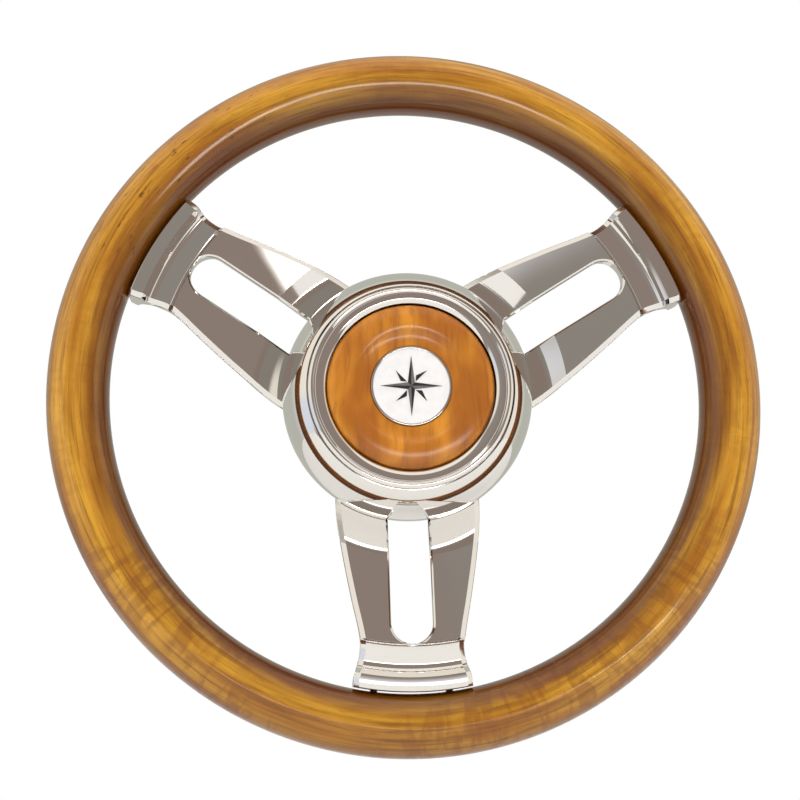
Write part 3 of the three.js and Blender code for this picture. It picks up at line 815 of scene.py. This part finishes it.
DOME_CURVE = 28.0
DOME_CURVE_CENTRE = (34.0, -9.0)
DOME_WALL = 2.0
POST_CIRCLE = 54.0


def make_dome():
    """The turned shell of the hub, and the three posts inside it that its screws go into."""
    side = arc(*DOME_CURVE_CENTRE, DOME_CURVE, 0, 53.7, 30)
    lip = [(50.35, 13.65), (50.2, 13.4), (50.2, 12.2)]
    inside = [(50, 12), (46.3, 12), (46, 11.7), (46, 4.2), (46.2, 4), (48, 4), (48, 9.4)]
    under = [
        *arc(*DOME_CURVE_CENTRE, DOME_CURVE - DOME_WALL, 45, 0, 12),
        (60, -14), (60.2, -14.2), (61.6, -14.2),
    ]
    verts, faces = turned([(62, -13.8), *side, *lip, *inside, *under], 192)
    add_piece("dome_shell", verts, faces, CHROME, "wheel", ["hub_dome"])
    for i, angle in enumerate(THIRDS):
        post = filleted([(2.3, -6), (2.3, -19), (6, -19), (6, -3.2), (0, -3.2), (0, -6)], 0.4)
        post_verts, post_faces = turned(post, 40)
        at = about_axis(angle) @ Matrix.Translation((POST_CIRCLE, 0, 0))
        add_piece(f"dome_post_{i + 1}", moved(post_verts, at), post_faces, CHROME, "wheel")


def make_bezel():
    """The chrome ring of the cap, with its beaded rim and grooves, and the seal round it."""
    bead = filleted([(49.8, 12.3), (49.9, 13.9), (48.0, 15.35), (46.45, 14.35)], 0.7, 6, closed=False)
    profile = [
        *bead, (46.25, 14.95), (46.05, 15.1), (43.6, 15.1), (43.3, 15.02),
        (41.55, 14.15), (41.3, 13.9), (41.3, 7.1), (42.5, 7.1), (42.5, 5.5), (41.3, 5.5),
        (41.3, 4.8), (41.5, 4.6), (45.3, 4.6), (45.6, 4.9), (45.6, 8.5), (43.9, 8.5),
        (43.9, 10.7), (45.6, 10.7), (45.6, 12.3),
    ]
    verts, faces = turned(profile, 192)
    add_piece("bezel_ring", verts, faces, CHROME, "centre_cap", ["cap_bezel"])
    ring = arc(44.85, 9.6, 0.9, 0, 360, 20)[:-1]
    verts, faces = turned(ring, 128)
    add_piece("o_ring_seal", verts, faces, RUBBER, "centre_cap", ["cap_o_ring"])


def make_insert():
    """The turned wooden disc of the cap, crowned near its edge and dished in the middle."""
    crown = smooth_line([
        (40.7, 11.6), (40.5, 12.9), (39.7, 14.2), (38, 15.4), (34.5, 16.5), (31, 16.9), (28.4, 16.5),
        (26.6, 15.7), (24.6, 15.05), (22.4, 14.7), (20.1, 14.5),
    ], 5)
    profile = [(0, 9.8), (40.5, 9.8), (40.7, 10), *crown, (19.75, 14.2), (19.75, 12.4), (0, 12.4)]
    verts, faces = turned(profile, 160)
    add_piece("wood_insert", verts, faces, INSERT_WOOD, "centre_cap", ["cap_wood_insert"])


MEDALLION_RADIUS = 19.4


def make_medallion():
    """The white disc in the middle of the cap, in its thin chrome edge."""
    face = [(0, 12.7), (18.4, 12.7), (18.4, 14.8), (0, 14.95)]
    verts, faces = turned(face, 128)
    add_piece("medallion_face", verts, faces, WHITE_ENAMEL, "centre_cap",
              ["medallion"])
    corners = [
        (18.45, 12.7), (MEDALLION_RADIUS, 12.7), (MEDALLION_RADIUS, 15.2), (18.45, 15.2),
    ]
    edge = filleted(corners, 0.35, 4)
    verts, faces = turned(edge, 128)
    add_piece("medallion_edge", verts, faces, CHROME, "centre_cap")


def make_rose():
    """A plain eight-point compass rose: long points split dark and light, short points dark."""
    low, high = 14.75, 15.1

    def wedge(corners):
        verts = [(u, -(h + DASH_TO_RIM), v) for h in (low, high) for u, v in corners]
        n = len(corners)
        faces = [list(range(n)), [n + i for i in reversed(range(n))]]
        faces += [[i, (i + 1) % n, n + (i + 1) % n, n + i] for i in range(n)]
        return verts, facing_out(verts, faces)

    halves = {"dark": ([], []), "light": ([], [])}
    for step in range(8):
        long_point = step % 2 == 0
        tip = 15.0 if long_point else 10.6
        waist = 2.4 if long_point else 5.6
        spread = 45.0 if long_point else 21.0
        start = 0.0 if long_point else 2.9
        angle = math.radians(90 - 45 * step)
        for side, key in ((1, "dark"), (-1, "light")):
            if key == "light" and not long_point:
                continue
            aside = angle + side * math.radians(spread)
            corners = [
                (start * math.cos(angle), start * math.sin(angle)),
                (waist * math.cos(aside), waist * math.sin(aside)),
                (tip * math.cos(angle), tip * math.sin(angle)),
            ]
            verts, faces = wedge(corners)
            all_verts, all_faces = halves[key]
            offset = len(all_verts)
            all_verts.extend(verts)
            all_faces.extend([[i + offset for i in f] for f in faces])
    verts, faces = halves["dark"]
    add_piece("rose_dark_halves", verts, faces, BLACK_ENAMEL, "centre_cap", ["compass_rose"])
    verts, faces = halves["light"]
    add_piece("rose_grey_halves", verts, faces, GREY_ENAMEL, "centre_cap")


def refined(node, bevel_mm):
    """A copy of a CAD node with its edges broken, which stands for the node."""
    source = frame["nodes"][node]
    work = bmesh.new()
    work.from_mesh(source.data)
    bmesh.ops.remove_doubles(work, verts=work.verts, dist=2e-6)
    bmesh.ops.dissolve_limit(work, angle_limit=math.radians(0.4), verts=work.verts, edges=work.edges)
    mesh = bpy.data.meshes.new(f"{node}_finished")
    work.to_mesh(mesh)
    work.free()
    piece = bpy.data.objects.new(f"{node}_finished", mesh)
    bpy.context.scene.collection.objects.link(piece)
    modifier = piece.modifiers.new("broken_edges", "BEVEL")
    modifier.width = bevel_mm * MM
    modifier.segments = 2
    modifier.limit_method = "ANGLE"
    modifier.angle_limit = math.radians(32)
    shown = bpy.context.evaluated_depsgraph_get()
    baked = bpy.data.meshes.new_from_object(piece.evaluated_get(shown))
    piece.modifiers.clear()
    piece.data = baked
    baked.materials.clear()
    baked.materials.append(SLOT_MATERIALS[NODE_SLOT[node]])
    baked.shade_smooth()
    baked.set_sharp_from_angle(angle=math.radians(30))
    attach(piece, NODE_BODY[node])
    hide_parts(node)
    return piece


make_rim()
make_spokes()
make_screws()
make_nut()
make_dome()
make_bezel()
make_insert()
make_medallion()
make_rose()
for cad_name, edge_mm in (("hub_boss", 0.35), ("bearing_housing", 0.5), ("thrust_washer", 0.15)):
    refined(cad_name, edge_mm)
for cad_name, cad_object in frame["nodes"].items():
    cad_object.data.materials.clear()
    cad_object.data.materials.append(SLOT_MATERIALS[NODE_SLOT[cad_name]])


# ------------------------------------------------------------------ stage, light and camera

FLOOR_RADIUS_M = 1.0
FLOOR_HEIGHT_M = -0.3
FLOOR_COLOUR = (0.86, 0.86, 0.86, 1.0)

# what the glossy surfaces see in each direction
FRONT_LEFT_TAUPE = rgb(143, 137, 130)
FRONT_RIGHT_TAUPE = rgb(143, 129, 121)
SIDE_CREAM = (0.9, 0.85, 0.76, 1.0)
LEFT_PALE_BLUE = rgb(222, 226, 238)
GROUND_PALE = rgb(228, 226, 230)
CEILING_CREAM = (0.93, 0.87, 0.79, 1.0)
BEHIND_GREY = rgb(186, 187, 178)
STRIP_LIGHT = (9.0, 8.6, 8.1, 1.0)

# what the matt surfaces are lit by
MATT_GROUND = (0.16, 0.13, 0.1, 1.0)
MATT_CEILING = (1.2, 1.17, 1.12, 1.0)
MATT_BEHIND = (0.28, 0.27, 0.25, 1.0)
BACKDROP_WHITE = (1.0, 1.0, 1.0, 1.0)


def make_floor():
    """A round pale floor below the wheel."""
    bpy.ops.mesh.primitive_circle_add(
        vertices=128,
        radius=FLOOR_RADIUS_M,
        fill_type="NGON",
        location=(0, 0, FLOOR_HEIGHT_M),
    )
    floor = bpy.context.object
    floor.name = "floor"
    material, s = new_material("pale_floor")
    finish_material(s, {"Base Color": FLOOR_COLOUR, "Roughness": 0.8})
    floor.data.materials.append(material)


def make_world():
    """A soft studio: a dim taupe side in front of the wheel, pale sides, ceiling and ground.

    A long soft strip light stands low in the dim side. Light that scatters off a matt surface comes
    from a smooth gradient instead, and the camera sees plain white.
    """
    world = bpy.data.worlds.new("studio")
    bpy.context.scene.world = world
    world.use_nodes = True
    s = Shader(world.node_tree)
    direction = s.node("ShaderNodeTexCoord").outputs["Generated"]
    split = s.node("ShaderNodeSeparateXYZ", {0: direction})
    x, y, z = split.outputs[0], split.outputs[1], split.outputs[2]
    aside = s.math("ABSOLUTE", x)
    sky = s.ramp(z, 0.68, 0.74)
    low = s.ramp(z, -0.42, -0.55)
    near_low = s.math("MULTIPLY", s.ramp(z, -0.04, -0.13), s.ramp(aside, 0.3, 0.18))
    ground = s.math("MAXIMUM", low, near_low)
    right = s.ramp(x, 0.84, 0.93)
    level_left = s.math("MULTIPLY", s.ramp(x, -0.6, -0.76), s.ramp(z, -0.24, -0.12))
    left = s.math("MAXIMUM", level_left, s.ramp(x, -0.84, -0.93))
    back = s.ramp(y, -0.5, -0.3)
    behind = s.ramp(y, 0.0, 0.45)
    sides = s.math("MAXIMUM", s.math("MAXIMUM", left, right), back)
    front = s.mix(s.ramp(x, -0.1, 0.1), FRONT_LEFT_TAUPE, FRONT_RIGHT_TAUPE)
    colour = s.mix(sides, front, SIDE_CREAM)
    colour = s.mix(s.math("MULTIPLY", left, s.ramp(z, 0.2, 0.0)), colour, LEFT_PALE_BLUE)
    colour = s.mix(ground, colour, GROUND_PALE)
    colour = s.mix(sky, colour, CEILING_CREAM)
    colour = s.mix(behind, colour, BEHIND_GREY)
    strip_height = s.math("ABSOLUTE", s.math("ADD", z, 0.21))
    strip_width = s.math("ABSOLUTE", s.math("SUBTRACT", x, 0.2))
    strip = s.math("MULTIPLY", s.ramp(strip_height, 0.1, 0.02), s.ramp(strip_width, 0.38, 0.3))
    strip = s.math("MULTIPLY", strip, s.ramp(y, -0.4, -0.6))
    colour = s.mix(strip, colour, STRIP_LIGHT)
    diffuse = s.node("ShaderNodeLightPath").outputs["Is Diffuse Ray"]
    soft = s.mix(s.ramp(z, -0.7, 0.8), MATT_GROUND, MATT_CEILING)
    soft = s.mix(s.ramp(y, -0.2, 0.5), soft, MATT_BEHIND)
    colour = s.mix(diffuse, colour, soft)
    seen = s.node("ShaderNodeLightPath").outputs["Is Camera Ray"]
    colour = s.mix(seen, colour, BACKDROP_WHITE)
    background = s.node("ShaderNodeBackground", {"Color": colour, "Strength": 1.0})
    s.node("ShaderNodeOutputWorld", {"Surface": background.outputs[0]})


def aim(thing, target):
    direction = Vector(target) - thing.location
    thing.rotation_euler = direction.to_track_quat("-Z", "Y").to_euler()


def area_light(name, place, target, size, watts, colour=(1, 1, 1)):
    """A large soft panel that lights matt surfaces and is left out of reflections."""
    light = bpy.data.lights.new(name, "AREA")
    light.shape = "RECTANGLE"
    light.size, light.size_y = size
    light.energy = watts
    light.color = colour
    lamp = bpy.data.objects.new(name, light)
    bpy.context.scene.collection.objects.link(lamp)
    lamp.location = place
    lamp.visible_glossy = False
    aim(lamp, target)


CAMERA_PLACE_M = (-0.05676, -0.75016, -0.14406)
CAMERA_FORWARD = Vector((0.07368, 0.97758, 0.19725)).normalized()
CAMERA_RIGHT = Vector((0.99727, -0.07310, -0.01021))
LENS_MM = 65.27
SENSOR_MM = 36.0
HUB_CENTRE_M = (0, -0.06, 0)


def make_camera():
    """The camera below and to the left of the wheel's axis, looking up at the hub."""
    camera = bpy.data.cameras.new("photo_view")
    camera.sensor_width = SENSOR_MM
    camera.lens = LENS_MM
    view = bpy.data.objects.new("photo_view", camera)
    bpy.context.scene.collection.objects.link(view)
    forward = CAMERA_FORWARD
    right = (CAMERA_RIGHT - CAMERA_RIGHT.dot(forward) * forward).normalized()
    up = right.cross(forward)
    turn = Matrix((right, up, -forward)).transposed()
    view.matrix_world = Matrix.Translation(CAMERA_PLACE_M) @ turn.to_4x4()
    bpy.context.scene.camera = view


make_floor()
make_world()
area_light("key", (-0.8, -1.0, 1.2), HUB_CENTRE_M, (0.9, 0.6), 9, (1, 0.97, 0.92))
area_light("fill", (1.3, -0.5, 0.6), HUB_CENTRE_M, (0.6, 0.9), 4)
make_camera()
bpy.context.scene.view_settings.view_transform = "Standard"
